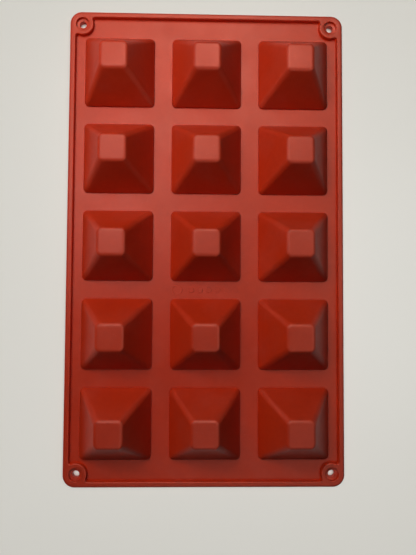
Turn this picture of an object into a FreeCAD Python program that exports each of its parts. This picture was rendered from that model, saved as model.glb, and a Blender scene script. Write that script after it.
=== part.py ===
import FreeCAD, Part
import math
import os
import Sketcher
from FreeCAD import Vector

# Resin casting mould: a flexible silicone tray with fifteen cavities in
# three columns and five rows, each cavity a blunt square pyramid.
#
# Frame: X across the tray, Y along it, Z up.  The tray lies mouth side down,
# so the cavity mouths open downwards in the plane Z = 0 and the fifteen cup
# shells stand up from the deck.  The origin is the centre of the footprint,
# in that plane.  Millimetres.
#
# The moulding is divided where its shape changes: one shell for each cup,
# the flat deck between the cups, the raised rim rails along the four sides
# and the four corner blocks with their stepped hanging holes.

doc = FreeCAD.newDocument("ResinCastingMould")

# ---------------------------------------------------------------- the sheet
sheet = doc.addObject("Spreadsheet::Sheet", "Dims")
DIMS = [
    ("tray_width", 175.0),       # outside, across
    ("tray_length", 300.0),      # outside, along
    ("outline_round", 7.5),      # corner radius of the outline
    ("deck_thick", 2.0),         # flat web between the cups
    ("rim_tall", 4.4),           # rim rail, over the mouth plane
    ("rim_wide", 3.7),
    ("rim_round_out", 1.3),      # rolled outer top edge
    ("rim_round_in", 0.7),       # rolled inner top edge
    ("boss_rad", 7.0),           # ring around each hanging hole
    ("hole_inset", 8.0),         # hole centre from both edges
    ("bore_rad", 2.1),           # through hole
    ("seat_rad", 4.0),           # wide upper part of the hole
    ("seat_deep", 1.6),
    ("pitch_across", 55.6),
    ("pitch_along", 55.6),
    ("cup_base", 44.4),          # foot of each pyramid at the deck
    ("cup_base_round", 2.4),
    ("cup_lip", 0.9),            # short upright foot above the deck
    ("cup_crown", 15.9),         # flat top, measured to the meeting lines
    ("cup_tall", 24.5),          # over the mouth plane
    ("hip_fillet", 3.2),         # rolled edge between two sloping walls
    ("crown_fillet", 2.8),       # rolled edge round the flat top
    ("mouth", 42.0),             # cavity at the mouth plane
    ("floor_side", 14.0),        # flat end of the cavity
    ("cavity_round", 1.6),       # rolled corners inside the cavity
    ("floor_thick", 2.0),
    ("corner_across", 15.0),     # corner block, from the outer edge
    ("corner_along", 16.6),
]
VAL = {}
for row, (alias, value) in enumerate(DIMS, start=1):
    sheet.set("A%d" % row, alias)
    sheet.set("B%d" % row, repr(value))
    sheet.setAlias("B%d" % row, alias)
    VAL[alias] = value
doc.recompute()

COLUMNS = 3
ROWS = 5


def expr(text):
    """An expression in the sheet's aliases, with the sheet's name put in."""
    out = []
    word = ""
    for ch in text + " ":
        if ch.isalnum() or ch == "_":
            word += ch
        else:
            out.append("Dims." + word if word in VAL else word)
            word = ""
            out.append(ch)
    return "".join(out).strip()


def number(text):
    """The same expression worked out, for the sketch's first geometry."""
    total = 0.0
    # the expressions here are sums of signed terms, each a product of
    # numbers and aliases, with division only by a number
    term_sign = 1.0
    for token in text.replace("-", " - ").replace("+", " + ").split():
        if token == "+":
            term_sign = 1.0
        elif token == "-":
            term_sign = -term_sign if term_sign < 0 else -1.0
        else:
            value = 1.0
            for i, factor in enumerate(token.replace("/", "*/").split("*")):
                divide = factor.startswith("/")
                factor = factor.lstrip("/")
                f = VAL[factor] if factor in VAL else float(factor)
                value = value / f if divide else value * f
            total += term_sign * value
            term_sign = 1.0
    return total


def plane(body, role):
    for feature in body.Origin.OriginFeatures:
        if feature.Role == role:
            return feature
    raise RuntimeError("no plane " + role)


def new_sketch(body, name, height):
    sk = body.newObject("Sketcher::SketchObject", name)
    sk.AttachmentSupport = [(plane(body, "XY_Plane"), "")]
    sk.MapMode = "FlatFace"
    sk.AttachmentOffset = FreeCAD.Placement(Vector(0, 0, number(height)),
                                            FreeCAD.Rotation())
    sk.setExpression(".AttachmentOffset.Base.z", expr(height))
    return sk


def bind(sk, index, name, text):
    sk.renameConstraint(index, name)
    sk.setExpression(".Constraints." + name, expr(text))


def rounded_square(body, name, height, side, radius):
    """A square sketch with rounded corners, centred, bound to the sheet."""
    sk = new_sketch(body, name, height)
    w = number(side) / 2.0
    r = number(radius)
    q = math.pi / 2.0
    geo = [
        Part.LineSegment(Vector(-w + r, -w, 0), Vector(w - r, -w, 0)),
        Part.LineSegment(Vector(w, -w + r, 0), Vector(w, w - r, 0)),
        Part.LineSegment(Vector(w - r, w, 0), Vector(-w + r, w, 0)),
        Part.LineSegment(Vector(-w, w - r, 0), Vector(-w, -w + r, 0)),
        Part.ArcOfCircle(Part.Circle(Vector(w - r, -w + r, 0), Vector(0, 0, 1), r), -q, 0),
        Part.ArcOfCircle(Part.Circle(Vector(w - r, w - r, 0), Vector(0, 0, 1), r), 0, q),
        Part.ArcOfCircle(Part.Circle(Vector(-w + r, w - r, 0), Vector(0, 0, 1), r), q, 2 * q),
        Part.ArcOfCircle(Part.Circle(Vector(-w + r, -w + r, 0), Vector(0, 0, 1), r), 2 * q, 3 * q),
    ]
    sk.addGeometry(geo, False)
    C = Sketcher.Constraint
    sk.addConstraint([
        C("Tangent", 0, 2, 4, 1), C("Tangent", 4, 2, 1, 1),
        C("Tangent", 1, 2, 5, 1), C("Tangent", 5, 2, 2, 1),
        C("Tangent", 2, 2, 6, 1), C("Tangent", 6, 2, 3, 1),
        C("Tangent", 3, 2, 7, 1), C("Tangent", 7, 2, 0, 1),
        C("Horizontal", 0), C("Horizontal", 2),
        C("Vertical", 1), C("Vertical", 3),
        C("Equal", 4, 5), C("Equal", 5, 6),
        C("Symmetric", 4, 3, 6, 3, -1, 1),
    ])
    i = sk.addConstraint(C("Radius", 4, r))
    bind(sk, i, "corner", radius)
    i = sk.addConstraint(C("DistanceX", 3, 1, 1, 1, 2 * w))
    bind(sk, i, "across", side)
    i = sk.addConstraint(C("DistanceY", 0, 1, 2, 1, 2 * w))
    bind(sk, i, "along", side)
    return sk


def rectangles(body, name, height, rects):
    """Rectangles (x0, y0, x1, y1), each side bound to the sheet.  A corner
    is held by its distance from the origin, always given as positive."""
    sk = new_sketch(body, name, height)
    C = Sketcher.Constraint
    for k, (x0, y0, x1, y1) in enumerate(rects):
        a, b, c, d = number(x0), number(y0), number(x1), number(y1)
        n = 4 * k
        sk.addGeometry([
            Part.LineSegment(Vector(a, b, 0), Vector(c, b, 0)),
            Part.LineSegment(Vector(c, b, 0), Vector(c, d, 0)),
            Part.LineSegment(Vector(c, d, 0), Vector(a, d, 0)),
            Part.LineSegment(Vector(a, d, 0), Vector(a, b, 0)),
        ], False)
        sk.addConstraint([
            C("Coincident", n, 2, n + 1, 1), C("Coincident", n + 1, 2, n + 2, 1),
            C("Coincident", n + 2, 2, n + 3, 1), C("Coincident", n + 3, 2, n, 1),
            C("Horizontal", n), C("Horizontal", n + 2),
            C("Vertical", n + 1), C("Vertical", n + 3),
        ])
        i = sk.addConstraint(C("DistanceX", n, 1, n, 2, c - a))
        bind(sk, i, "wide%d" % k, x1 + "-(" + x0 + ")")
        i = sk.addConstraint(C("DistanceY", n + 1, 1, n + 1, 2, d - b))
        bind(sk, i, "tall%d" % k, y1 + "-(" + y0 + ")")
        # hold the lower left corner from the origin, in the direction
        # that keeps the distance positive
        if a < -1e-9:
            i = sk.addConstraint(C("DistanceX", n, 1, -1, 1, -a))
            bind(sk, i, "left%d" % k, "-(" + x0 + ")")
        elif a > 1e-9:
            i = sk.addConstraint(C("DistanceX", -1, 1, n, 1, a))
            bind(sk, i, "left%d" % k, x0)
        else:
            sk.addConstraint(C("PointOnObject", n, 1, -2))
        if b < -1e-9:
            i = sk.addConstraint(C("DistanceY", n, 1, -1, 1, -b))
            bind(sk, i, "low%d" % k, "-(" + y0 + ")")
        elif b > 1e-9:
            i = sk.addConstraint(C("DistanceY", -1, 1, n, 1, b))
            bind(sk, i, "low%d" % k, y0)
        else:
            sk.addConstraint(C("PointOnObject", n, 1, -1))
    return sk


def edges_where(shape, test):
    """Names of the edges whose sampled points all pass the test."""
    names = []
    for i, edge in enumerate(shape.Edges, start=1):
        pts = edge.discretize(5)
        if all(test(p) for p in pts):
            names.append("Edge%d" % i)
    return names


def place(body, x, y):
    body.Placement = FreeCAD.Placement(Vector(number(x), number(y), 0),
                                       FreeCAD.Rotation())
    body.setExpression(".Placement.Base.x", expr(x))
    body.setExpression(".Placement.Base.y", expr(y))


SUBPARTS = []


def new_body(label):
    body = doc.addObject("PartDesign::Body", label)
    body.Label = label
    SUBPARTS.append(body)
    return body


# ------------------------------------------------------------------ the cups
def wedge(body, kind, name, low, low_side, high, high_side):
    """A blunt square pyramid about the body's Z axis.  The primitive tapers
    along its own Y, so it is turned upright."""
    w = body.newObject("PartDesign::" + kind, name)
    w.Placement = FreeCAD.Placement(Vector(0, 0, 0),
                                    FreeCAD.Rotation(Vector(1, 0, 0), 90))
    sizes = [("Ymax", high), ("Ymin", low),
             ("Xmax", "0.5*" + low_side), ("Xmin", "-0.5*" + low_side),
             ("Zmax", "0.5*" + low_side), ("Zmin", "-0.5*" + low_side),
             ("X2max", "0.5*" + high_side), ("X2min", "-0.5*" + high_side),
             ("Z2max", "0.5*" + high_side), ("Z2min", "-0.5*" + high_side)]
    for prop, text in sizes:
        setattr(w, prop, number(text))
    for prop, text in sizes:
        w.setExpression(prop, expr(text))
    doc.recompute()
    return w


def rolled_edges(body, base, name, radius, count, test):
    """A fillet on the edges that pass the test, with their number checked."""
    f = body.newObject("PartDesign::Fillet", name)
    names = edges_where(base.Shape, test)
    if len(names) != count:
        raise RuntimeError("%s: %d edges, not %d" % (name, len(names), count))
    f.Base = (base, names)
    f.Radius = VAL[radius]
    f.setExpression("Radius", expr(radius))
    doc.recompute()
    return f


def make_cup(label, x, y):
    """One cavity shell: a collar in the deck, an upright foot, four sloping
    walls, a flat crown, and the cavity inside at an even wall."""
    body = new_body(label)
    # the four walls on a sharp blunt pyramid, then its hips and the edge of
    # its flat top rolled
    top = VAL["cup_tall"]
    foot_z = VAL["deck_thick"] + VAL["cup_lip"]
    walls = wedge(body, "AdditiveWedge", label + "_walls", "deck_thick+cup_lip", "cup_base",
                  "cup_tall", "cup_crown")
    hips = rolled_edges(body, walls, label + "_hips", "hip_fillet", 4,
                        lambda p: foot_z - 1e-4 < p.z < top + 1e-4 and abs(abs(p.x) - abs(p.y)) < 1e-4)
    rolled = rolled_edges(body, hips, label + "_crown_edge", "crown_fillet", 8,
                          lambda p: abs(p.z - top) < 1e-4)
    # under them the upright lip with its rounded corners, and a plain square
    # collar through the deck's thickness, which fills its window in the deck
    foot = rounded_square(body, label + "_foot", "deck_thick", "cup_base", "cup_base_round")
    upright = body.newObject("PartDesign::Pad", label + "_upright")
    upright.Profile = foot
    upright.Length = VAL["cup_lip"]
    upright.setExpression("Length", expr("cup_lip"))
    doc.recompute()
    collar = rectangles(body, label + "_collar", "0",
                        [("-0.5*cup_base", "-0.5*cup_base", "0.5*cup_base", "0.5*cup_base")])
    low = body.newObject("PartDesign::Pad", label + "_collar_pad")
    low.Profile = collar
    low.Length = VAL["deck_thick"]
    low.setExpression("Length", expr("deck_thick"))
    doc.recompute()
    solid_volume = low.Shape.Volume

    cavity = wedge(body, "SubtractiveWedge", label + "_cavity", "0", "mouth",
                   "cup_tall-floor_thick", "floor_side")
    if not cavity.Shape.Volume < 0.6 * solid_volume:
        raise RuntimeError(label + ": the cavity wasn't cut")
    roof = VAL["cup_tall"] - VAL["floor_thick"]
    inner = rolled_edges(body, cavity, label + "_cavity_hips", "cavity_round", 4,
                         lambda p: -1e-4 < p.z < roof + 1e-4 and abs(abs(p.x) - abs(p.y)) < 1e-4
                         and abs(abs(p.x) - (0.5 * VAL["mouth"] - p.z * 0.5 * (VAL["mouth"] - VAL["floor_side"]) / roof)) < 1e-3)

    body.Tip = inner
    place(body, x, y)
    return body


for r in range(ROWS):
    for c in range(COLUMNS):
        make_cup("cup_row%d_col%d" % (r + 1, c + 1),
                 "%g*pitch_across" % (c - 1), "%g*pitch_along" % (2 - r))


# ------------------------------------------------------- deck strips and webs
def slab(label, rects, x="0", y="0"):
    body = new_body(label)
    if "AllowCompound" in body.PropertiesList:
        body.AllowCompound = True
    sk = rectangles(body, label + "_plan", "0", rects)
    pad = body.newObject("PartDesign::Pad", label + "_pad")
    pad.Profile = sk
    pad.Length = VAL["deck_thick"]
    pad.setExpression("Length", expr("deck_thick"))
    body.Tip = pad
    place(body, x, y)
    return body


HALF_W = "0.5*tray_width"
HALF_L = "0.5*tray_length"
IN_W = "0.5*tray_width-rim_wide"
IN_L = "0.5*tray_length-rim_wide"
CUP = "0.5*cup_base"

# lengthwise strips: the two narrow margins beside the rim, and the two
# strips between the columns, which run to the end rails
slab("deck_margin_left",
     [("-0.5*tray_width+rim_wide", "-2*pitch_along-0.5*cup_base",
       "-1*pitch_across-0.5*cup_base", "2*pitch_along+0.5*cup_base")])
slab("deck_margin_right",
     [("1*pitch_across+0.5*cup_base", "-2*pitch_along-0.5*cup_base",
       "0.5*tray_width-rim_wide", "2*pitch_along+0.5*cup_base")])
slab("deck_strip_col1_col2",
     [("-1*pitch_across+0.5*cup_base", "-0.5*tray_length+rim_wide",
       "-0.5*cup_base", "0.5*tray_length-rim_wide")])
slab("deck_strip_col2_col3",
     [("0.5*cup_base", "-0.5*tray_length+rim_wide",
       "1*pitch_across-0.5*cup_base", "0.5*tray_length-rim_wide")])

# webs between the rows: three alike in each gap
for g in range(ROWS - 1):
    body = new_body("deck_webs_row%d_row%d" % (g + 1, g + 2))
    if "AllowCompound" in body.PropertiesList:
        body.AllowCompound = True
    sk = rectangles(body, body.Label + "_plan", "0",
                    [("-0.5*cup_base", "-0.5*pitch_along+0.5*cup_base",
                      "0.5*cup_base", "0.5*pitch_along-0.5*cup_base")])
    pad = body.newObject("PartDesign::Pad", body.Label + "_pad")
    pad.Profile = sk
    pad.Length = VAL["deck_thick"]
    pad.setExpression("Length", expr("deck_thick"))
    doc.recompute()
    row3 = body.newObject("PartDesign::LinearPattern", body.Label + "_across")
    row3.Originals = [pad]
    row3.Direction = (plane(body, "X_Axis"), [""])
    row3.Length = 2 * VAL["pitch_across"]
    row3.setExpression("Length", expr("2*pitch_across"))
    row3.Occurrences = COLUMNS
    body.Tip = row3
    place(body, "-1*pitch_across", "%g*pitch_along" % (1.5 - g))

# end webs, between the first and last rows and the end rails; the outer two
# of each three stop at the corner blocks
for label, sgn in (("deck_webs_top_end", 1), ("deck_webs_bottom_end", -1)):
    if sgn > 0:
        y0, y1 = "2*pitch_along+0.5*cup_base", "0.5*tray_length-rim_wide"
    else:
        y0, y1 = "-0.5*tray_length+rim_wide", "-2*pitch_along-0.5*cup_base"
    slab(label, [
        ("-0.5*tray_width+corner_across", y0, "-1*pitch_across+0.5*cup_base", y1),
        ("-0.5*cup_base", y0, "0.5*cup_base", y1),
        ("1*pitch_across-0.5*cup_base", y0, "0.5*tray_width-corner_across", y1),
    ])


# ------------------------------------------------------------- the rim rails
def rail(label, rect, outer_test, inner_test, x="0", y="0"):
    body = new_body(label)
    sk = rectangles(body, label + "_plan", "0", [rect])
    pad = body.newObject("PartDesign::Pad", label + "_pad")
    pad.Profile = sk
    pad.Length = VAL["rim_tall"]
    pad.setExpression("Length", expr("rim_tall"))
    doc.recompute()
    tall = VAL["rim_tall"]
    f1 = body.newObject("PartDesign::Fillet", label + "_outer_edge")
    f1.Base = (pad, edges_where(pad.Shape, lambda p: abs(p.z - tall) < 1e-5 and outer_test(p)))
    f1.Radius = VAL["rim_round_out"]
    f1.setExpression("Radius", expr("rim_round_out"))
    doc.recompute()
    f2 = body.newObject("PartDesign::Fillet", label + "_inner_edge")
    f2.Base = (f1, edges_where(f1.Shape, lambda p: abs(p.z - tall) < 1e-5 and inner_test(p)))
    f2.Radius = VAL["rim_round_in"]
    f2.setExpression("Radius", expr("rim_round_in"))
    body.Tip = f2
    place(body, x, y)
    return body


# side rails run between the corner blocks; each is drawn about its own
# middle and placed on its side of the tray
W2, L2 = number(HALF_W), number(HALF_L)
RW = VAL["rim_wide"]
side_rect = ("-0.5*rim_wide", "-0.5*tray_length+corner_along",
             "0.5*rim_wide", "0.5*tray_length-corner_along")
end_rect = ("-0.5*tray_width+corner_across", "-0.5*rim_wide",
            "0.5*tray_width-corner_across", "0.5*rim_wide")
rail("rim_rail_left", side_rect,
     lambda p: abs(p.x + RW / 2) < 1e-5, lambda p: abs(p.x - RW / 2) < 1e-5,
     "-0.5*tray_width+0.5*rim_wide", "0")
rail("rim_rail_right", side_rect,
     lambda p: abs(p.x - RW / 2) < 1e-5, lambda p: abs(p.x + RW / 2) < 1e-5,
     "0.5*tray_width-0.5*rim_wide", "0")
rail("rim_rail_top", end_rect,
     lambda p: abs(p.y - RW / 2) < 1e-5, lambda p: abs(p.y + RW / 2) < 1e-5,
     "0", "0.5*tray_length-0.5*rim_wide")
rail("rim_rail_bottom", end_rect,
     lambda p: abs(p.y + RW / 2) < 1e-5, lambda p: abs(p.y - RW / 2) < 1e-5,
     "0", "-0.5*tray_length+0.5*rim_wide")


# --------------------------------------------------------- the corner blocks
def make_corner(label, sx, sy):
    """A corner block, drawn for the corner at +X +Y about the hole's axis and
    turned to its place: the deck's corner, the rim around it, and the ring
    with its stepped hole."""
    body = new_body(label)
    q = math.pi / 2.0
    C = Sketcher.Constraint
    turned = sx * sy < 0          # these two are drawn with X and Y swapped
    along = "corner_along" if not turned else "corner_across"
    across = "corner_across" if not turned else "corner_along"
    inset, rad = VAL["hole_inset"], VAL["outline_round"]
    far = inset                    # outer edges are this far from the hole
    xi = number(across) - inset    # block's inner sides, from the hole
    yi = number(along) - inset

    # plate outline: outer corner rounded
    sk = new_sketch(body, label + "_plan", "0")
    sk.addGeometry([
        Part.LineSegment(Vector(-xi, far, 0), Vector(far - rad, far, 0)),
        Part.ArcOfCircle(Part.Circle(Vector(far - rad, far - rad, 0), Vector(0, 0, 1), rad), 0, q),
        Part.LineSegment(Vector(far, far - rad, 0), Vector(far, -yi, 0)),
        Part.LineSegment(Vector(far, -yi, 0), Vector(-xi, -yi, 0)),
        Part.LineSegment(Vector(-xi, -yi, 0), Vector(-xi, far, 0)),
    ], False)
    sk.addConstraint([
        C("Tangent", 0, 2, 1, 2), C("Tangent", 1, 1, 2, 1),
        C("Coincident", 2, 2, 3, 1), C("Coincident", 3, 2, 4, 1),
        C("Coincident", 4, 2, 0, 1),
        C("Horizontal", 0), C("Vertical", 2), C("Horizontal", 3), C("Vertical", 4),
    ])
    i = sk.addConstraint(C("Radius", 1, rad))
    bind(sk, i, "outline", "outline_round")
    i = sk.addConstraint(C("DistanceX", -1, 1, 2, 1, far))
    bind(sk, i, "right", "hole_inset")
    i = sk.addConstraint(C("DistanceY", -1, 1, 0, 1, far))
    bind(sk, i, "top", "hole_inset")
    i = sk.addConstraint(C("DistanceX", 3, 2, 3, 1, number(across)))
    bind(sk, i, "across", across)
    i = sk.addConstraint(C("DistanceY", 4, 1, 4, 2, number(along)))
    bind(sk, i, "along", along)
    plate = body.newObject("PartDesign::Pad", label + "_plate")
    plate.Profile = sk
    plate.Length = VAL["deck_thick"]
    plate.setExpression("Length", expr("deck_thick"))
    doc.recompute()

    # raised band: the rim bent round the corner and the ring round the hole
    boss, rw = VAL["boss_rad"], VAL["rim_wide"]
    g = inset - rw                 # rim's inner side, from the hole
    cut = math.sqrt(boss * boss - g * g)
    start = math.atan2(g, -cut)
    end = math.atan2(-cut, g) + 2 * math.pi
    sk = new_sketch(body, label + "_band", "0")
    sk.addGeometry([
        Part.LineSegment(Vector(-xi, far, 0), Vector(far - rad, far, 0)),
        Part.ArcOfCircle(Part.Circle(Vector(far - rad, far - rad, 0), Vector(0, 0, 1), rad), 0, q),
        Part.LineSegment(Vector(far, far - rad, 0), Vector(far, -yi, 0)),
        Part.LineSegment(Vector(far, -yi, 0), Vector(g, -yi, 0)),
        Part.LineSegment(Vector(g, -yi, 0), Vector(g, -cut, 0)),
        Part.ArcOfCircle(Part.Circle(Vector(0, 0, 0), Vector(0, 0, 1), boss), start, end),
        Part.LineSegment(Vector(-cut, g, 0), Vector(-xi, g, 0)),
        Part.LineSegment(Vector(-xi, g, 0), Vector(-xi, far, 0)),
    ], False)
    sk.addConstraint([
        C("Tangent", 0, 2, 1, 2), C("Tangent", 1, 1, 2, 1),
        C("Coincident", 2, 2, 3, 1), C("Coincident", 3, 2, 4, 1),
        C("Coincident", 4, 2, 5, 2), C("Coincident", 5, 1, 6, 1),
        C("Coincident", 6, 2, 7, 1), C("Coincident", 7, 2, 0, 1),
        C("Horizontal", 0), C("Vertical", 2), C("Horizontal", 3), C("Vertical", 4),
        C("Horizontal", 6), C("Vertical", 7),
        C("Coincident", 5, 3, -1, 1),
    ])
    i = sk.addConstraint(C("Radius", 1, rad))
    bind(sk, i, "outline", "outline_round")
    i = sk.addConstraint(C("Radius", 5, boss))
    bind(sk, i, "ring", "boss_rad")
    i = sk.addConstraint(C("DistanceX", -1, 1, 2, 1, far))
    bind(sk, i, "right", "hole_inset")
    i = sk.addConstraint(C("DistanceY", -1, 1, 0, 1, far))
    bind(sk, i, "top", "hole_inset")
    i = sk.addConstraint(C("DistanceX", 3, 2, 3, 1, rw))
    bind(sk, i, "band_x", "rim_wide")
    i = sk.addConstraint(C("DistanceY", 7, 1, 7, 2, rw))
    bind(sk, i, "band_y", "rim_wide")
    i = sk.addConstraint(C("DistanceY", 3, 1, -1, 1, yi))
    bind(sk, i, "low", along + "-hole_inset")
    i = sk.addConstraint(C("DistanceX", 7, 1, -1, 1, xi))
    bind(sk, i, "left", across + "-hole_inset")
    band = body.newObject("PartDesign::Pad", label + "_raised")
    band.Profile = sk
    band.Length = VAL["rim_tall"]
    band.setExpression("Length", expr("rim_tall"))
    doc.recompute()

    tall = VAL["rim_tall"]

    def on_outer(p):
        if abs(p.z - tall) > 1e-5:
            return False
        if abs(p.x - far) < 1e-4 and p.y <= far - rad + 1e-4:
            return True
        if abs(p.y - far) < 1e-4 and p.x <= far - rad + 1e-4:
            return True
        return abs(math.hypot(p.x - far + rad, p.y - far + rad) - rad) < 1e-4 and p.x > far - rad - 1e-4

    def on_inner(p):
        if abs(p.z - tall) > 1e-5:
            return False
        if abs(p.x - g) < 1e-4 and p.y < -cut + 1e-3:
            return True
        if abs(p.y - g) < 1e-4 and p.x < -cut + 1e-3:
            return True
        return abs(math.hypot(p.x, p.y) - boss) < 1e-4

    f1 = body.newObject("PartDesign::Fillet", label + "_outer_edge")
    f1.Base = (band, edges_where(band.Shape, on_outer))
    f1.Radius = VAL["rim_round_out"]
    f1.setExpression("Radius", expr("rim_round_out"))
    doc.recompute()
    f2 = body.newObject("PartDesign::Fillet", label + "_inner_edge")
    f2.Base = (f1, edges_where(f1.Shape, on_inner))
    f2.Radius = VAL["rim_round_in"]
    f2.setExpression("Radius", expr("rim_round_in"))
    doc.recompute()
    before = f2.Shape.Volume

    # stepped hole: the wide seat from above, the through hole below it
    def ring_sketch(name, height, alias):
        s = new_sketch(body, name, height)
        s.addGeometry(Part.Circle(Vector(0, 0, 0), Vector(0, 0, 1), VAL[alias]), False)
        s.addConstraint(C("Coincident", 0, 3, -1, 1))
        j = s.addConstraint(C("Radius", 0, VAL[alias]))
        bind(s, j, "round_size", alias)
        return s

    seat = body.newObject("PartDesign::Pocket", label + "_seat")
    seat.Profile = ring_sketch(label + "_seat_ring", "rim_tall", "seat_rad")
    seat.Length = VAL["seat_deep"]
    seat.setExpression("Length", expr("seat_deep"))
    doc.recompute()
    removed = before - seat.Shape.Volume
    want = math.pi * VAL["seat_rad"] ** 2 * VAL["seat_deep"]
    if abs(removed - want) > 0.02 * want:
        raise RuntimeError("%s: seat removed %.2f, not %.2f" % (label, removed, want))
    bore = body.newObject("PartDesign::Pocket", label + "_bore")
    bore.Profile = ring_sketch(label + "_bore_ring", "rim_tall", "bore_rad")
    bore.Type = "ThroughAll"
    doc.recompute()
    removed = seat.Shape.Volume - bore.Shape.Volume
    want = math.pi * VAL["bore_rad"] ** 2 * (VAL["rim_tall"] - VAL["seat_deep"])
    if abs(removed - want) > 0.02 * want:
        raise RuntimeError("%s: bore removed %.2f, not %.2f" % (label, removed, want))
    body.Tip = bore

    turn = {(1, 1): 0, (-1, 1): 90, (-1, -1): 180, (1, -1): 270}[(sx, sy)]
    x = "%g*tray_width%s" % (0.5 * sx, "-hole_inset" if sx > 0 else "+hole_inset")
    y = "%g*tray_length%s" % (0.5 * sy, "-hole_inset" if sy > 0 else "+hole_inset")
    body.Placement = FreeCAD.Placement(
        Vector(number(x), number(y), 0),
        FreeCAD.Rotation(Vector(0, 0, 1), turn))
    body.setExpression(".Placement.Base.x", expr(x))
    body.setExpression(".Placement.Base.y", expr(y))
    return body


make_corner("corner_block_top_left", -1, 1)
make_corner("corner_block_top_right", 1, 1)
make_corner("corner_block_bottom_left", -1, -1)
make_corner("corner_block_bottom_right", 1, -1)

# --------------------------------------------------------------- final checks
doc.recompute()
for obj in doc.Objects:
    bad = [s for s in obj.State if s in ("Invalid", "Error")]
    if bad:
        raise RuntimeError("%s is %s" % (obj.Label, bad))

os.makedirs("parts", exist_ok=True)
total = 0.0
box = FreeCAD.BoundBox()
for body in SUBPARTS:
    shape = body.Shape
    if shape.isNull() or not shape.isValid():
        raise RuntimeError(body.Label + ": the shape is null or not valid")
    if not shape.Solids:
        raise RuntimeError(body.Label + ": no solid")
    total += shape.Volume
    box.add(shape.BoundBox)
for body in SUBPARTS:
    body.Shape.exportStep(os.path.join("parts", body.Label + ".step"))
    print("%-28s solids %d  volume %9.2f mm3" % (body.Label, len(body.Shape.Solids), body.Shape.Volume))
print("nodes %d, total volume %.0f mm3, mass at 1.15 g/cm3 %.0f g" % (len(SUBPARTS), total, total * 1.15e-3))
print("box %.3f %.3f %.3f to %.3f %.3f %.3f" % (box.XMin, box.YMin, box.ZMin, box.XMax, box.YMax, box.ZMax))
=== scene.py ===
# Resin casting mould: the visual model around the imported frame.
#
# Every piece is built in metres in the row frame: X across, Y along, Z up,
# mouths down on the floor at Z = 0.  Sizes and places come from the frame's
# boxes; what a box can't say (radii, wall draft) is written here in
# millimetres, as in the design.
import math
import bpy
import bmesh
from mathutils import Matrix, Vector
from mathutils.geometry import delaunay_2d_cdt


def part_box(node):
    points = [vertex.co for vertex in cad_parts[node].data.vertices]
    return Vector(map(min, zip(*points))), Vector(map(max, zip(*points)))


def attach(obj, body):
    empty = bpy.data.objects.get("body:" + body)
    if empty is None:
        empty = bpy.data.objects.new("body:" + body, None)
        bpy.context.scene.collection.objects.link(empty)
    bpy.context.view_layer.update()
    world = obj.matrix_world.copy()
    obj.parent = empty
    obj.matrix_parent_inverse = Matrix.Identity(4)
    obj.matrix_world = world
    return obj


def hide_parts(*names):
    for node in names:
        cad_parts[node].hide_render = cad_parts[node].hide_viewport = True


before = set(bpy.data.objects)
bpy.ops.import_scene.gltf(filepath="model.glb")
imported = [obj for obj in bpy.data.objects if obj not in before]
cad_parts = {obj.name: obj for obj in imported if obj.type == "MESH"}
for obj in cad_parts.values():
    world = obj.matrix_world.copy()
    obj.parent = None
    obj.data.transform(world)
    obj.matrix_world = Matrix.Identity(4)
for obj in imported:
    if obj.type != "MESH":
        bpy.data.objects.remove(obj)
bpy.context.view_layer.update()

MM = 0.001

nodes = sorted(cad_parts)
cup_nodes = [n for n in nodes if n.startswith("cup_")]
deck_nodes = [n for n in nodes if n.startswith("deck_")]
rim_nodes = [n for n in nodes if n.startswith("rim_") or n.startswith("corner_")]


# ------------------------------------------------------------- sizes, in mm
def mm_box(name):
    lo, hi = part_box(name)
    return [v / MM for v in lo], [v / MM for v in hi]


lo_l, hi_l = mm_box("rim_rail_left")
lo_r, hi_r = mm_box("rim_rail_right")
lo_t, hi_t = mm_box("rim_rail_top")
lo_b, hi_b = mm_box("rim_rail_bottom")
lo_d, hi_d = mm_box("deck_strip_col1_col2")
HW = (hi_r[0] - lo_l[0]) / 2.0          # half width, 87.5
HL = (hi_t[1] - lo_b[1]) / 2.0          # half length, 150
RIM = hi_l[0] - lo_l[0]                 # rim width, 3.7
RIM_Z = hi_l[2]                         # rim height, 4.4
DECK = hi_d[2]                          # deck thickness, 2.0
CUPS = {}
for n in cup_nodes:
    lo, hi = mm_box(n)
    CUPS[n] = ((lo[0] + hi[0]) / 2.0, (lo[1] + hi[1]) / 2.0,
               (hi[0] - lo[0]) / 2.0, hi[2])
FOOT = list(CUPS.values())[0][2]        # half foot, 22.2
TALL = list(CUPS.values())[0][3]        # crown height, 24.5

OUT_R = 7.5        # outline corner radius
INSET = 8.0        # hole centre from both edges
BOSS = 7.0
SEAT_R, SEAT_DEEP, BORE_R = 4.0, 1.6, 2.1
FOOT_R, CROWN_R = 2.8, 3.4
CROWN = 15.9 / 2.0
LIP = 0.9
MOUTH, MOUTH_R, MOUTH_LIP = 21.0, 1.8, 0.9
FLOOR, FLOOR_R, FLOOR_T = 7.0, 1.8, 2.0
MOUTH_EDGE = 0.28
HOLES = [(sx * (HW - INSET), sy * (HL - INSET)) for sx, sy in
         ((-1, 1), (1, 1), (1, -1), (-1, -1))]


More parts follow.
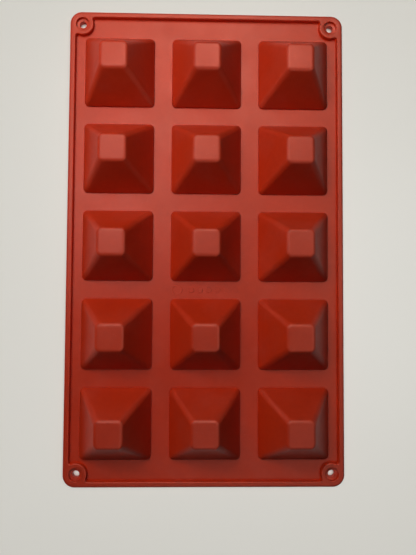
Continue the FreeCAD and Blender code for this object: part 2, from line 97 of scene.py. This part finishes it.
# ------------------------------------------------------------ camera, first
cam_data = bpy.data.cameras.new("camera")
cam = bpy.data.objects.new("camera", cam_data)
bpy.context.scene.collection.objects.link(cam)
bpy.context.scene.camera = cam
cam_data.sensor_width = 36.0
cam_data.sensor_fit = "AUTO"
cam_data.lens = 27.05
cam_data.clip_start = 0.01
cam_data.clip_end = 20.0
CAM_AT = Vector((-0.0034, -0.0291, 0.2643 + DECK * MM))
AIM = Vector((0.0016, -0.0198, DECK * MM))
view = (AIM - CAM_AT).normalized()
up = Vector((0, 1, 0))
right = view.cross(up).normalized()
up = right.cross(view).normalized()
roll = math.radians(0.34)
r2 = right * math.cos(roll) + up * math.sin(roll)
u2 = up * math.cos(roll) - right * math.sin(roll)
rot = Matrix((r2, u2, -view)).transposed()
cam.matrix_world = Matrix.Translation(CAM_AT) @ rot.to_4x4()


# ------------------------------------------------------------- mesh helpers
def rounded(cx, cy, ax, ay, rc, nside, narc):
    """Points of a rounded rectangle, anticlockwise from the middle of the
    lower right corner's arc start."""
    pts = []
    rc = max(1e-4, min(rc, ax, ay))
    for sx, sy, a0 in ((1, -1, -90), (1, 1, 0), (-1, 1, 90), (-1, -1, 180)):
        ox, oy = cx + sx * (ax - rc), cy + sy * (ay - rc)
        for k in range(narc + 1):
            t = math.radians(a0 + 90.0 * k / narc)
            pts.append((ox + rc * math.cos(t), oy + rc * math.sin(t)))
        # the straight side after this corner, without its end points
        x0, y0 = pts[-1]
        if sx == 1 and sy == -1:
            x1, y1 = cx + ax, cy + ay - rc
        elif sx == 1 and sy == 1:
            x1, y1 = cx - ax + rc, cy + ay
        elif sx == -1 and sy == 1:
            x1, y1 = cx - ax, cy - ay + rc
        else:
            x1, y1 = cx + ax - rc, cy - ay
        for k in range(1, nside):
            f = k / nside
            pts.append((x0 + (x1 - x0) * f, y0 + (y1 - y0) * f))
    return pts


def new_object(name, bm, smooth_angle=None):
    bmesh.ops.recalc_face_normals(bm, faces=bm.faces)
    me = bpy.data.meshes.new(name)
    bm.to_mesh(me)
    bm.free()
    for p in me.polygons:
        p.use_smooth = True
    ob = bpy.data.objects.new(name, me)
    bpy.context.scene.collection.objects.link(ob)
    if smooth_angle is not None:
        mark_sharp(me, math.radians(smooth_angle))
    return ob


def mark_sharp(me, angle):
    """Edges whose faces meet at more than the angle are drawn sharp."""
    bm = bmesh.new()
    bm.from_mesh(me)
    for e in bm.edges:
        e.smooth = not (len(e.link_faces) != 2 or e.calc_face_angle(0.0) > angle)
    bm.to_mesh(me)
    bm.free()


def strip(bm, a, b):
    n = len(a)
    for i in range(n):
        j = (i + 1) % n
        bm.faces.new((a[i], a[j], b[j], b[i]))


def loop(bm, pts, z):
    if callable(z):
        return [bm.verts.new((x * MM, y * MM, z(x, y) * MM)) for x, y in pts]
    return [bm.verts.new((x * MM, y * MM, z * MM)) for x, y in pts]


def cap(bm, ring_pts, verts, z, cx, cy, ax, rc, levels):
    """Close a flat rounded square with shrinking rings and a middle fan."""
    prev = verts
    for f in levels:
        pts = rounded(cx, cy, ax * f, ax * f, max(rc * f, 0.02), NS, NA)
        cur = loop(bm, pts, z)
        strip(bm, prev, cur)
        prev = cur
    mid = bm.verts.new((cx * MM, cy * MM, (z(cx, cy) if callable(z) else z) * MM))
    n = len(prev)
    for i in range(n):
        bm.faces.new((prev[i], prev[(i + 1) % n], mid))


NS, NA = 14, 8       # divisions of each side and corner of a cup's rings


# ------------------------------------------------------------------ one cup
def cup_profile_outer():
    """(half size, corner radius, height) up the outside of a cup."""
    out = []
    z0 = DECK
    rise = TALL - (DECK + LIP)
    run = FOOT - CROWN
    beta = math.atan2(run, rise)                 # wall's lean from upright
    hide_z = 0.0
    out.append((MOUTH + MOUTH_EDGE, MOUTH_R + MOUTH_EDGE, hide_z))
    out.append((FOOT, FOOT_R, z0))
    # upright, then a roll into the slope
    R1 = 2.4
    s1 = R1 * math.tan(beta / 2.0)
    zs = DECK + LIP - s1
    out.append((FOOT, FOOT_R, max(z0 + 0.05, zs)))
    steps = 5
    for k in range(1, steps + 1):
        t = beta * k / steps
        out.append((FOOT - R1 * (1 - math.cos(t)), FOOT_R, zs + R1 * math.sin(t)))
    # slope
    a0, _, zz0 = out[-1]
    R2 = 2.9
    turn = math.pi / 2.0 - beta
    s2 = R2 * math.tan(turn / 2.0)
    a1 = CROWN + s2 * math.sin(beta)
    zz1 = TALL - s2 * math.cos(beta)
    steps = 16
    for k in range(1, steps + 1):
        f = k / steps
        out.append((a0 + (a1 - a0) * f, FOOT_R + (CROWN_R - FOOT_R) * f, zz0 + (zz1 - zz0) * f))
    # crown roll
    steps = 9
    base_r = CROWN_R
    for k in range(1, steps + 1):
        t = turn * k / steps
        # from the slope's direction round to level
        ang = beta + t
        dz = R2 * (math.sin(ang) - math.sin(beta))
        da = R2 * (math.cos(beta) - math.cos(ang))
        out.append((a1 - da, max(base_r - da, 0.9), zz1 + dz))
    return out


def cup_profile_inner():
    """The same, up the inside of the cavity from its mouth."""
    out = []
    e = MOUTH_EDGE
    steps = 4
    for k in range(1, steps + 1):
        t = math.pi / 2.0 * k / steps
        out.append((MOUTH + e * (1 - math.sin(t)), MOUTH_R + e * (1 - math.sin(t)), e * (1 - math.cos(t))))
    top = TALL - FLOOR_T
    rise = top - MOUTH_LIP
    run = MOUTH - FLOOR
    beta = math.atan2(run, rise)
    R1 = 0.5
    s1 = R1 * math.tan(beta / 2.0)
    zs = MOUTH_LIP - s1
    out.append((MOUTH, MOUTH_R, zs))
    for k in range(1, 4):
        t = beta * k / 3
        out.append((MOUTH - R1 * (1 - math.cos(t)), MOUTH_R, zs + R1 * math.sin(t)))
    a0, _, zz0 = out[-1]
    R2 = 0.8
    turn = math.pi / 2.0 - beta
    s2 = R2 * math.tan(turn / 2.0)
    a1 = FLOOR + s2 * math.sin(beta)
    zz1 = top - s2 * math.cos(beta)
    for k in range(1, 15):
        f = k / 14
        out.append((a0 + (a1 - a0) * f, MOUTH_R + (FLOOR_R - MOUTH_R) * f, zz0 + (zz1 - zz0) * f))
    for k in range(1, 6):
        ang = beta + turn * k / 5
        dz = R2 * (math.sin(ang) - math.sin(beta))
        da = R2 * (math.cos(beta) - math.cos(ang))
        out.append((a1 - da, max(FLOOR_R - da, 0.6), zz1 + dz))
    return out


OUTER = cup_profile_outer()
INNER = cup_profile_inner()


def make_cup(name, node):
    cx, cy, foot, tall = CUPS[node]
    bm = bmesh.new()
    prev = None
    for a, rc, z in OUTER:
        cur = loop(bm, rounded(cx, cy, a, a, rc, NS, NA), z)
        if prev:
            strip(bm, prev, cur)
        else:
            first = cur
        prev = cur
    a, rc, z = OUTER[-1]
    cap(bm, None, prev, z, cx, cy, a, rc, (0.85, 0.65, 0.42, 0.2))
    prev = first
    for a, rc, z in INNER:
        cur = loop(bm, rounded(cx, cy, a, a, rc, NS, NA), z)
        strip(bm, prev, cur)
        prev = cur
    a, rc, z = INNER[-1]
    cap(bm, None, prev, z, cx, cy, a, rc, (0.8, 0.55, 0.3))
    return new_object(name, bm)


# ----------------------------------------------------- contours of the rim
def rim_inner_contour(d, n_arc=10, n_line=26):
    """The rim's inner side with the four rings merged into it, moved by d
    towards the outside of the tray (towards the rim's own middle)."""
    g = INSET - RIM                       # rim's inner side from a hole
    rho = 1.3                             # fillet where a ring meets a rail
    # in a corner's frame (hole at 0,0, outer edges at +INSET), the side rail's
    # inner face is x = g; the ring is a circle of BOSS; the fillet's centre
    # is at x = g - rho, at BOSS + rho from the hole
    yc = -math.sqrt((BOSS + rho) ** 2 - (g - rho) ** 2)
    fc = (g - rho, yc)                    # fillet centre by the side rail
    # tangent angles
    ang_ring = math.atan2(yc, g - rho)    # direction hole -> fillet centre
    pts_corner = []
    # coming up the side rail (x = g + d), going anticlockwise seen from the
    # deck: the rail, the fillet, the ring, the fillet, the end rail
    # fillet by the side rail: from angle 0 (towards +x) turning to the ring
    a_start, a_end = 0.0, math.pi + ang_ring
    for k in range(n_arc + 1):
        t = a_start + (a_end - a_start) * k / n_arc
        pts_corner.append((fc[0] + (rho + d) * math.cos(t), fc[1] + (rho + d) * math.sin(t)))
    # ring: from the side rail's tangent point round the deck side, clockwise
    r0 = ang_ring
    r1 = math.pi / 2.0 - ang_ring         # mirror in the diagonal
    r1 = r1 - 2 * math.pi if r1 > r0 else r1
    # go from r0 down through the deck side (-135 degrees)
    target = -math.pi - (ang_ring + math.pi / 2.0)
    steps = 30
    for k in range(1, steps + 1):
        t = r0 + (target - r0) * k / steps
        pts_corner.append(((BOSS - d) * math.cos(t), (BOSS - d) * math.sin(t)))
    # fillet by the end rail, the mirror of the first
    mirror = [(y, x) for x, y in pts_corner[:n_arc + 1]][::-1]
    pts_corner.extend(mirror[1:])
    out = []
    cornersets = []
    for sx, sy in ((1, 1), (-1, 1), (-1, -1), (1, -1)):
        hx, hy = sx * (HW - INSET), sy * (HL - INSET)
        seq = [(hx + sx * x, hy + sy * y) for x, y in pts_corner]
        if sx * sy < 0:
            seq = seq[::-1]
        cornersets.append(seq)
    n_l = {0: n_line, 1: n_line, 2: n_line, 3: n_line}
    for i in range(4):
        seq = cornersets[i]
        out.extend(seq)
        nxt = cornersets[(i + 1) % 4][0]
        x0, y0 = seq[-1]
        x1, y1 = nxt
        for k in range(1, n_line):
            f = k / n_line
            out.append((x0 + (x1 - x0) * f, y0 + (y1 - y0) * f))
    return out


def outline(d, nside=26, narc=14):
    return rounded(0, 0, HW - d, HL - d, OUT_R - d, nside, narc)


def circle(cx, cy, r, n=48):
    return [(cx + r * math.cos(2 * math.pi * k / n), cy + r * math.sin(2 * math.pi * k / n)) for k in range(n)]


def inside(poly, x, y):
    c = False
    j = len(poly) - 1
    for i in range(len(poly)):
        xi, yi = poly[i]
        xj, yj = poly[j]
        if (yi > y) != (yj > y) and x < (xj - xi) * (y - yi) / (yj - yi) + xi:
            c = not c
        j = i
    return c


def fill_flat(bm, outer, holes, zfun, grid=0.0):
    """Triangles between an outer loop and holes.  Each loop is a list of
    (points, existing BMesh vertices)."""
    verts, edges, ref = [], [], []
    for pts, vs in [outer] + holes:
        base = len(verts)
        n = len(pts)
        for p, v in zip(pts, vs):
            verts.append(Vector(p))
            ref.append(v)
        edges.extend([(base + i, base + (i + 1) % n) for i in range(n)])
    if grid:
        op = outer[0]
        x0, x1 = min(p[0] for p in op), max(p[0] for p in op)
        y0, y1 = min(p[1] for p in op), max(p[1] for p in op)
        nx, ny = int((x1 - x0) / grid), int((y1 - y0) / grid)
        for i in range(1, nx):
            for j in range(1, ny):
                x = x0 + (x1 - x0) * i / nx + (0.25 * grid if j % 2 else -0.25 * grid)
                y = y0 + (y1 - y0) * j / ny
                if not inside(op, x, y):
                    continue
                if any(inside(h[0], x, y) for h in holes):
                    continue
                near = False
                for pts, _ in [outer] + holes:
                    for (px, py) in pts:
                        if (px - x) ** 2 + (py - y) ** 2 < (0.4 * grid) ** 2:
                            near = True
                            break
                    if near:
                        break
                if near:
                    continue
                verts.append(Vector((x, y)))
                ref.append(bm.verts.new((x * MM, y * MM, zfun(x, y) * MM)))
    vo, eo, fo, vmap, _, _ = delaunay_2d_cdt(verts, edges, [], 0, 1e-6)
    back = []
    for k, src in enumerate(vmap):
        back.append(ref[src[0]])
    for f in fo:
        cx = sum(vo[i][0] for i in f) / len(f)
        cy = sum(vo[i][1] for i in f) / len(f)
        if not inside(outer[0], cx, cy):
            continue
        if any(inside(h[0], cx, cy) for h in holes):
            continue
        tri = [back[i] for i in f]
        if len(set(tri)) == 3:
            try:
                bm.faces.new(tri)
            except ValueError:
                pass


# --------------------------------------------------------------------- deck
MARK_Y = -27.8      # middle of the low moulded mark, between the third and
MARK_UP = 0.22      # fourth rows; it stands this far over the deck


def relief_mark(bm):
    """A plain moulded mark: a low ring and a row of low round pips.  Returns the
    outlines that it takes out of the deck's top."""
    holes = []

    def raised(pts_of):
        low = pts_of(0.0)
        v_low = loop(bm, low, DECK)
        prev = v_low
        for d, z in ((0.05, MARK_UP * 0.55), (0.10, MARK_UP * 0.88), (0.19, MARK_UP), (0.30, MARK_UP)):
            cur_pts = pts_of(d)
            cur = loop(bm, cur_pts, DECK + z)
            strip(bm, prev, cur)
            prev = cur
        return (low, v_low), (cur_pts, prev)

    # the ring
    rx, r_out, r_in = -18.0, 3.5, 2.5
    hole, top = raised(lambda d: circle(rx, MARK_Y, r_out - d, 40))
    holes.append(hole)
    well, inner_top = raised(lambda d: circle(rx, MARK_Y, r_in + d, 40))
    fill_flat(bm, top, [inner_top], lambda x, y: DECK + MARK_UP)
    fill_flat(bm, well, [], lambda x, y: DECK)
    # the pips, all alike and evenly spaced
    for k in range(6):
        cx = -9.0 + 5.6 * k
        hole, top = raised(lambda d: circle(cx, MARK_Y, 1.8 - d, 28))
        holes.append(hole)
        fill_flat(bm, top, [], lambda a, b: DECK + MARK_UP)
    return holes


def make_deck(name):
    """The whole flat sheet: the mouth face below, the deck above, fifteen
    windows that the cups fill, and the lower part of the four holes."""
    bm = bmesh.new()
    e = 0.45                                   # rolled lower outer edge
    top_out = outline(0.0)
    t_out = loop(bm, top_out, DECK)
    prev = t_out
    side = [(0.0, e + 0.4), (0.0, e)]
    for k in range(1, 5):
        t = math.pi / 2.0 * k / 4
        side.append((e * (1 - math.cos(t)), e * (1 - math.sin(t))))
    for d, z in side:
        pts = outline(d)
        cur = loop(bm, pts, z)
        strip(bm, prev, cur)
        prev, low_pts = cur, pts
    low_out = prev
    top_holes, low_holes = [], []
    for node in cup_nodes:
        cx, cy, foot, _ = CUPS[node]
        pt = rounded(cx, cy, FOOT, FOOT, FOOT_R, NS, NA)
        pl = rounded(cx, cy, MOUTH + MOUTH_EDGE, MOUTH + MOUTH_EDGE, MOUTH_R + MOUTH_EDGE, NS, NA)
        vt, vl = loop(bm, pt, DECK), loop(bm, pl, 0.0)
        strip(bm, vt, vl)
        top_holes.append((pt, vt))
        low_holes.append((pl, vl))
    for hx, hy in HOLES:
        vt = loop(bm, circle(hx, hy, BORE_R), DECK)
        prev = vt
        for r, z in ((BORE_R, 0.3), (BORE_R + 0.09, 0.09), (BORE_R + 0.3, 0.0)):
            cur = loop(bm, circle(hx, hy, r), z)
            strip(bm, prev, cur)
            prev = cur
        top_holes.append((circle(hx, hy, BORE_R), vt))
        low_holes.append((circle(hx, hy, BORE_R + 0.3), prev))
    top_holes.extend(relief_mark(bm))
    fill_flat(bm, (top_out, t_out), top_holes, lambda x, y: DECK, 4.0)
    fill_flat(bm, (low_pts, low_out), low_holes, lambda x, y: 0.0, 6.0)
    return new_object(name, bm, 40)


# ---------------------------------------------------------------------- rim
def make_rim(name):
    """The raised rim with its four rings and the upper part of the holes."""
    bm = bmesh.new()
    R_out, R_in = 1.5, 0.8
    draft = 0.22
    foot_in = rim_inner_contour(-draft)
    v_foot = loop(bm, foot_in, DECK)
    v_low_out = loop(bm, outline(0.0), DECK)
    # outside wall and roll
    prev = v_low_out
    path = [(0.0, RIM_Z - R_out)]
    for k in range(1, 9):
        t = math.pi / 2.0 * k / 8
        path.append((R_out * (1 - math.cos(t)), RIM_Z - R_out + R_out * math.sin(t)))
    path.append((R_out + 0.15, RIM_Z))
    for d, z in path:
        pts_o = outline(d)
        cur = loop(bm, pts_o, z)
        strip(bm, prev, cur)
        prev = cur
    top_out = (pts_o, prev)
    # inside wall and roll
    prev = v_foot
    path = [(-draft * 0.35, DECK + 0.25), (0.0, RIM_Z - R_in)]
    for k in range(1, 7):
        t = math.pi / 2.0 * k / 6
        path.append((R_in * (1 - math.cos(t)), RIM_Z - R_in + R_in * math.sin(t)))
    path.append((R_in + 0.12, RIM_Z))
    for d, z in path:
        pts_i = rim_inner_contour(d)
        cur = loop(bm, pts_i, z)
        strip(bm, prev, cur)
        prev = cur
    top_in = (pts_i, prev)
    low_holes, top_holes = [], []
    for hx, hy in HOLES:
        c_low = circle(hx, hy, BORE_R)
        v0 = loop(bm, c_low, DECK)
        prev = v0
        ledge = RIM_Z - SEAT_DEEP
        rolls = [(BORE_R, ledge - 0.25), (BORE_R + 0.07, ledge - 0.07), (BORE_R + 0.25, ledge),
                 (SEAT_R - 0.3, ledge), (SEAT_R - 0.08, ledge + 0.09), (SEAT_R, ledge + 0.3),
                 (SEAT_R, RIM_Z - 0.4), (SEAT_R + 0.06, RIM_Z - 0.2), (SEAT_R + 0.2, RIM_Z - 0.06),
                 (SEAT_R + 0.4, RIM_Z)]
        for r, z in rolls:
            cur = loop(bm, circle(hx, hy, r), z)
            strip(bm, prev, cur)
            prev = cur
        low_holes.append((c_low, v0))
        top_holes.append((circle(hx, hy, SEAT_R + 0.4), prev))
    # flat top between the rolls, and the flat underside on the deck
    fill_flat(bm, top_out, [top_in] + top_holes, lambda x, y: RIM_Z)
    fill_flat(bm, (outline(0.0), v_low_out), [(foot_in, v_foot)] + low_holes, lambda x, y: DECK)
    return new_object(name, bm, 40)


# ----------------------------------------------------------------- material
def silicone_material(name):
    """Brick red silicone rubber: a satin moulded skin with slight pigment
    mottling, a faint bloom of dust and a fine grain."""
    m = bpy.data.materials.new(name)
    m.use_nodes = True
    nt = m.node_tree
    nt.nodes.clear()
    L = nt.links.new

    def N(kind, **values):
        n = nt.nodes.new(kind)
        for k, v in values.items():
            n.inputs[k].default_value = v
        return n

    out = N("ShaderNodeOutputMaterial")
    b = N("ShaderNodeBsdfPrincipled")
    L(b.outputs["BSDF"], out.inputs["Surface"])
    co = nt.nodes.new("ShaderNodeTexCoord")

    def noise(scale, detail, rough=0.5, distort=0.0):
        n = N("ShaderNodeTexNoise", Scale=scale, Detail=detail, Roughness=rough, Distortion=distort)
        L(co.outputs["Object"], n.inputs["Vector"])
        return n.outputs["Fac"]

    def ramp(fac, stops):
        r = nt.nodes.new("ShaderNodeValToRGB")
        while len(r.color_ramp.elements) < len(stops):
            r.color_ramp.elements.new(0.5)
        for e, (p, c) in zip(r.color_ramp.elements, stops):
            e.position = p
            e.color = c if len(c) == 4 else (*c, 1)
        L(fac, r.inputs["Fac"])
        return r.outputs["Color"]

    def mix(fac, a, bb):
        n = nt.nodes.new("ShaderNodeMix")
        n.data_type = "RGBA"
        L(fac, n.inputs["Factor"])
        for sock, v in ((n.inputs[6], a), (n.inputs[7], bb)):
            if isinstance(v, tuple):
                sock.default_value = v
            else:
                L(v, sock)
        return n.outputs[2]

    # slow pigment variation over centimetres, and finer mottling
    base = ramp(noise(24.0, 3.0), [(0.28, BASE_LO), (0.72, BASE_HI)])
    fine = ramp(noise(300.0, 4.0, 0.62), [(0.35, (0.0, 0.0, 0.0)), (0.75, (1.0, 1.0, 1.0))])
    base = mix(ramp(fine, [(0.0, (0.0,) * 3), (1.0, (0.30,) * 3)]), base, BASE_DEEP)
    # a faint bloom: fine dust that the rubber holds, in soft patches
    patch = ramp(noise(38.0, 5.0, 0.6, 0.4), [(0.50, (0.0,) * 3), (0.82, (0.055,) * 3)])
    base = mix(patch, base, DUST)
    speck = N("ShaderNodeTexVoronoi", Scale=520.0, Randomness=1.0)
    speck.feature = "F1"
    L(co.outputs["Object"], speck.inputs["Vector"])
    dots = ramp(speck.outputs["Distance"], [(0.055, (0.30,) * 3), (0.10, (0.0,) * 3)])
    few = ramp(noise(60.0, 2.0), [(0.52, (0.0,) * 3), (0.62, (1.0,) * 3)])
    both = nt.nodes.new("ShaderNodeMath")
    both.operation = "MULTIPLY"
    L(dots, both.inputs[0])
    L(few, both.inputs[1])
    base = mix(both.outputs[0], base, DUST)
    L(base, b.inputs["Base Color"])
    # satin, with slightly smoother and duller patches
    L(ramp(noise(70.0, 4.0, 0.6), [(0.3, (0.36,) * 3), (0.75, (0.49,) * 3)]), b.inputs["Roughness"])
    b.inputs["IOR"].default_value = 1.41
    b.inputs["Specular IOR Level"].default_value = 0.5
    b.inputs["Specular Tint"].default_value = (1.0, 0.42, 0.345, 1)
    b.inputs["Subsurface Weight"].default_value = 0.0
    # relief: the moulded skin's grain, a faint orange peel and slow waves
    last = None
    for scale, detail, strength, distance in ((2600.0, 2.0, 0.16, 0.0001),
                                              (700.0, 2.0, 0.10, 0.0002),
                                              (75.0, 2.0, 0.16, 0.0006)):
        bp = N("ShaderNodeBump", Strength=strength, Distance=distance)
        L(noise(scale, detail), bp.inputs["Height"])
        if last is not None:
            L(last, bp.inputs["Normal"])
        last = bp.outputs["Normal"]
    L(last, b.inputs["Normal"])
    return m


BASE_LO = (0.525, 0.0250, 0.0030)
BASE_HI = (0.580, 0.0310, 0.0040)
BASE_DEEP = (0.430, 0.0170, 0.0022, 1)
DUST = (0.62, 0.30, 0.24, 1)
silicone = silicone_material("silicone_brick_red")


PIECES = []


def finish_piece(ob, *replaced):
    PIECES.append(ob)
    ob.data.materials.clear()
    ob.data.materials.append(silicone)
    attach(ob, "root")
    if replaced:
        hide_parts(*replaced)
    return ob


for n in cup_nodes:
    finish_piece(make_cup(n.replace("cup_", "pyramid_cup_"), n), n)
finish_piece(make_deck("deck_sheet"), *deck_nodes)
finish_piece(make_rim("raised_rim"), *rim_nodes)


# -------------------------------------------------------------------- stage
def floor_material():
    m = bpy.data.materials.new("floor_white")
    m.use_nodes = True
    b = m.node_tree.nodes["Principled BSDF"]
    b.inputs["Base Color"].default_value = (0.72, 0.70, 0.64, 1)
    b.inputs["Roughness"].default_value = 0.30
    return m


# a round floor, and a plain backdrop that curves up from it far behind the
# object; the backdrop is only seen and doesn't light the object
FLOOR_N = 64


def lathe(name, profile, closed):
    bm = bmesh.new()
    prev = None
    for r, z in profile:
        cur = [bm.verts.new((r * math.cos(2 * math.pi * k / FLOOR_N), r * math.sin(2 * math.pi * k / FLOOR_N), z))
               for k in range(FLOOR_N)]
        if prev is not None:
            strip(bm, cur, prev)
        elif closed:
            bm.faces.new(cur)
        prev = cur
    bmesh.ops.recalc_face_normals(bm, faces=bm.faces)
    me = bpy.data.meshes.new(name)
    bm.to_mesh(me)
    bm.free()
    for p in me.polygons:
        p.use_smooth = True
    ob = bpy.data.objects.new(name, me)
    bpy.context.scene.collection.objects.link(ob)
    ob.location = (0, 0, -0.0002)
    ob.data.materials.append(pale)
    return ob


pale = floor_material()
floor = lathe("floor", [(0.4, 0.0), (1.0, 0.0), (1.8, 0.0), (2.6, 0.0)], True)
curve = [(2.6 + 1.2 * math.sin(math.pi * k / 16.0), 1.2 * (1 - math.cos(math.pi * k / 16.0))) for k in range(9)]
backdrop = lathe("backdrop", curve + [(3.8, 3.2)], False)
backdrop.visible_diffuse = False
backdrop.visible_glossy = False
backdrop.visible_shadow = False

world = bpy.data.worlds.new("world")
bpy.context.scene.world = world
world.use_nodes = True
world.node_tree.nodes["Background"].inputs["Color"].default_value = (1.0, 0.98, 0.95, 1)
world.node_tree.nodes["Background"].inputs["Strength"].default_value = 0.004

# the tray and the floor have lights of their own, so that the floor stays an
# even pale tone while the tray is lit from the far left
tray_set = bpy.data.collections.new("tray_lit")
floor_set = bpy.data.collections.new("floor_lit")
for ob in PIECES:
    tray_set.objects.link(ob)
floor_set.objects.link(floor)
floor_set.objects.link(backdrop)


def area(name, at, aim, size, power, receivers, color=(1, 1, 1), diffuse=True, glossy=True):
    d = bpy.data.lights.new(name, "AREA")
    d.shape = "SQUARE"
    d.size = size
    d.energy = power
    d.color = color
    o = bpy.data.objects.new(name, d)
    bpy.context.scene.collection.objects.link(o)
    o.location = at
    dirn = (Vector(aim) - Vector(at)).normalized()
    o.rotation_euler = dirn.to_track_quat("-Z", "Y").to_euler()
    o.light_linking.receiver_collection = receivers
    o.visible_camera = False
    o.visible_diffuse = diffuse
    o.visible_glossy = glossy
    return o


def dome(az, el):
    """A place 0.9 m from the tray's middle; azimuth is clockwise from +Y."""
    a, e = math.radians(az), math.radians(el)
    return (0.9 * math.cos(e) * math.sin(a), 0.9 * math.cos(e) * math.cos(a), 0.9 * math.sin(e))


def near(x, y, z):
    return (x, y, z), (0.3 * x, 0.6 * y, 0.0)


NEUTRAL, WARM, COOL = (1.0, 1.0, 1.0), (1.0, 0.94, 0.84), (0.97, 1.0, 1.0)
BODY = [  # soft light that gives the tray its shape: place, aim, size, watts
    ("body_far_left", *near(-0.22, 0.30, 0.42), 0.16, 4.0 * 0.147),
    ("body_left", *near(-0.30, 0.08, 0.40), 0.16, 4.0 * 0.084),
    ("body_far", *near(-0.10, 0.18, 0.36), 0.16, 4.0 * 0.068),
    ("body_wide", dome(315, 50), (0, 0, 0), 0.45, 10.0 * 0.066),
    ("body_close_far", *near(-0.05, 0.22, 0.22), 0.12, 2.0 * 0.012),
    ("body_close_left", *near(-0.16, 0.10, 0.22), 0.12, 2.0 * 0.012),
    ("body_close_mid", *near(0.06, 0.16, 0.26), 0.12, 2.0 * 0.008),
]
SHEEN = [  # soft light seen only as the satin sheen
    ("sheen_far", dome(0, 50), (0, 0, 0), 0.45, 10.0 * 0.58, WARM),
    ("sheen_right", dome(90, 50), (0, 0, 0), 0.45, 10.0 * 0.35, WARM),
    ("sheen_high", dome(315, 72), (0, 0, 0), 0.35, 10.0 * 0.31, COOL),
    ("sheen_near", dome(180, 50), (0, 0, 0), 0.45, 10.0 * 0.157, NEUTRAL),
    ("sheen_far_right", *near(0.20, 0.28, 0.42), 0.16, 4.0 * 0.151, WARM),
    ("sheen_near_right", dome(135, 50), (0, 0, 0), 0.45, 10.0 * 0.145, WARM),
    ("sheen_close", *near(-0.16, 0.10, 0.22), 0.12, 2.0 * 0.150, COOL),
    ("sheen_low_left", dome(315, 25), (0, 0, 0), 0.45, 10.0 * 0.110, COOL),
    ("sheen_far_mid", *near(0.0, 0.32, 0.42), 0.16, 4.0 * 0.075, WARM),
    ("sheen_side", dome(270, 25), (0, 0, 0), 0.45, 10.0 * 0.060, COOL),
    ("sheen_mid_right", *near(0.12, 0.05, 0.35), 0.12, 2.0 * 0.064, WARM),
    ("sheen_near_left", dome(225, 50), (0, 0, 0), 0.45, 10.0 * 0.030, COOL),
]
FLOOR_LIGHTS = [
    ("floor_far", (-0.05, 0.45, 1.2), 0.8, 20.0 * 0.235, (1.0, 0.975, 0.90)),
    ("floor_left", (-0.5, 0.0, 1.1), 0.8, 20.0 * 0.025, (1.0, 1.0, 0.95)),
    ("floor_near", (0.0, -0.4, 1.1), 0.8, 20.0 * 0.025, (0.95, 0.98, 1.0)),
    ("floor_right", (0.5, 0.0, 1.1), 0.8, 20.0 * 0.112, (0.96, 0.985, 1.0)),
    ("floor_wide", (0.0, 0.0, 2.6), 3.5, 52.0, (0.975, 0.985, 1.02)),
]
for nm, at, aim, size, power in BODY:
    area(nm, at, aim, size, power, tray_set, glossy=False)
for nm, at, aim, size, power, tint in SHEEN:
    area(nm, at, aim, size, power, tray_set, tint, diffuse=False)
for nm, at, size, power, tint in FLOOR_LIGHTS:
    area(nm, at, (0, 0, 0) if at[0] or at[1] else (0, 0.001, 0), size, power, floor_set, tint)

vs = bpy.context.scene.view_settings
vs.view_transform = "Standard"
vs.look = "None"
vs.exposure = 0.0
vs.gamma = 1.0
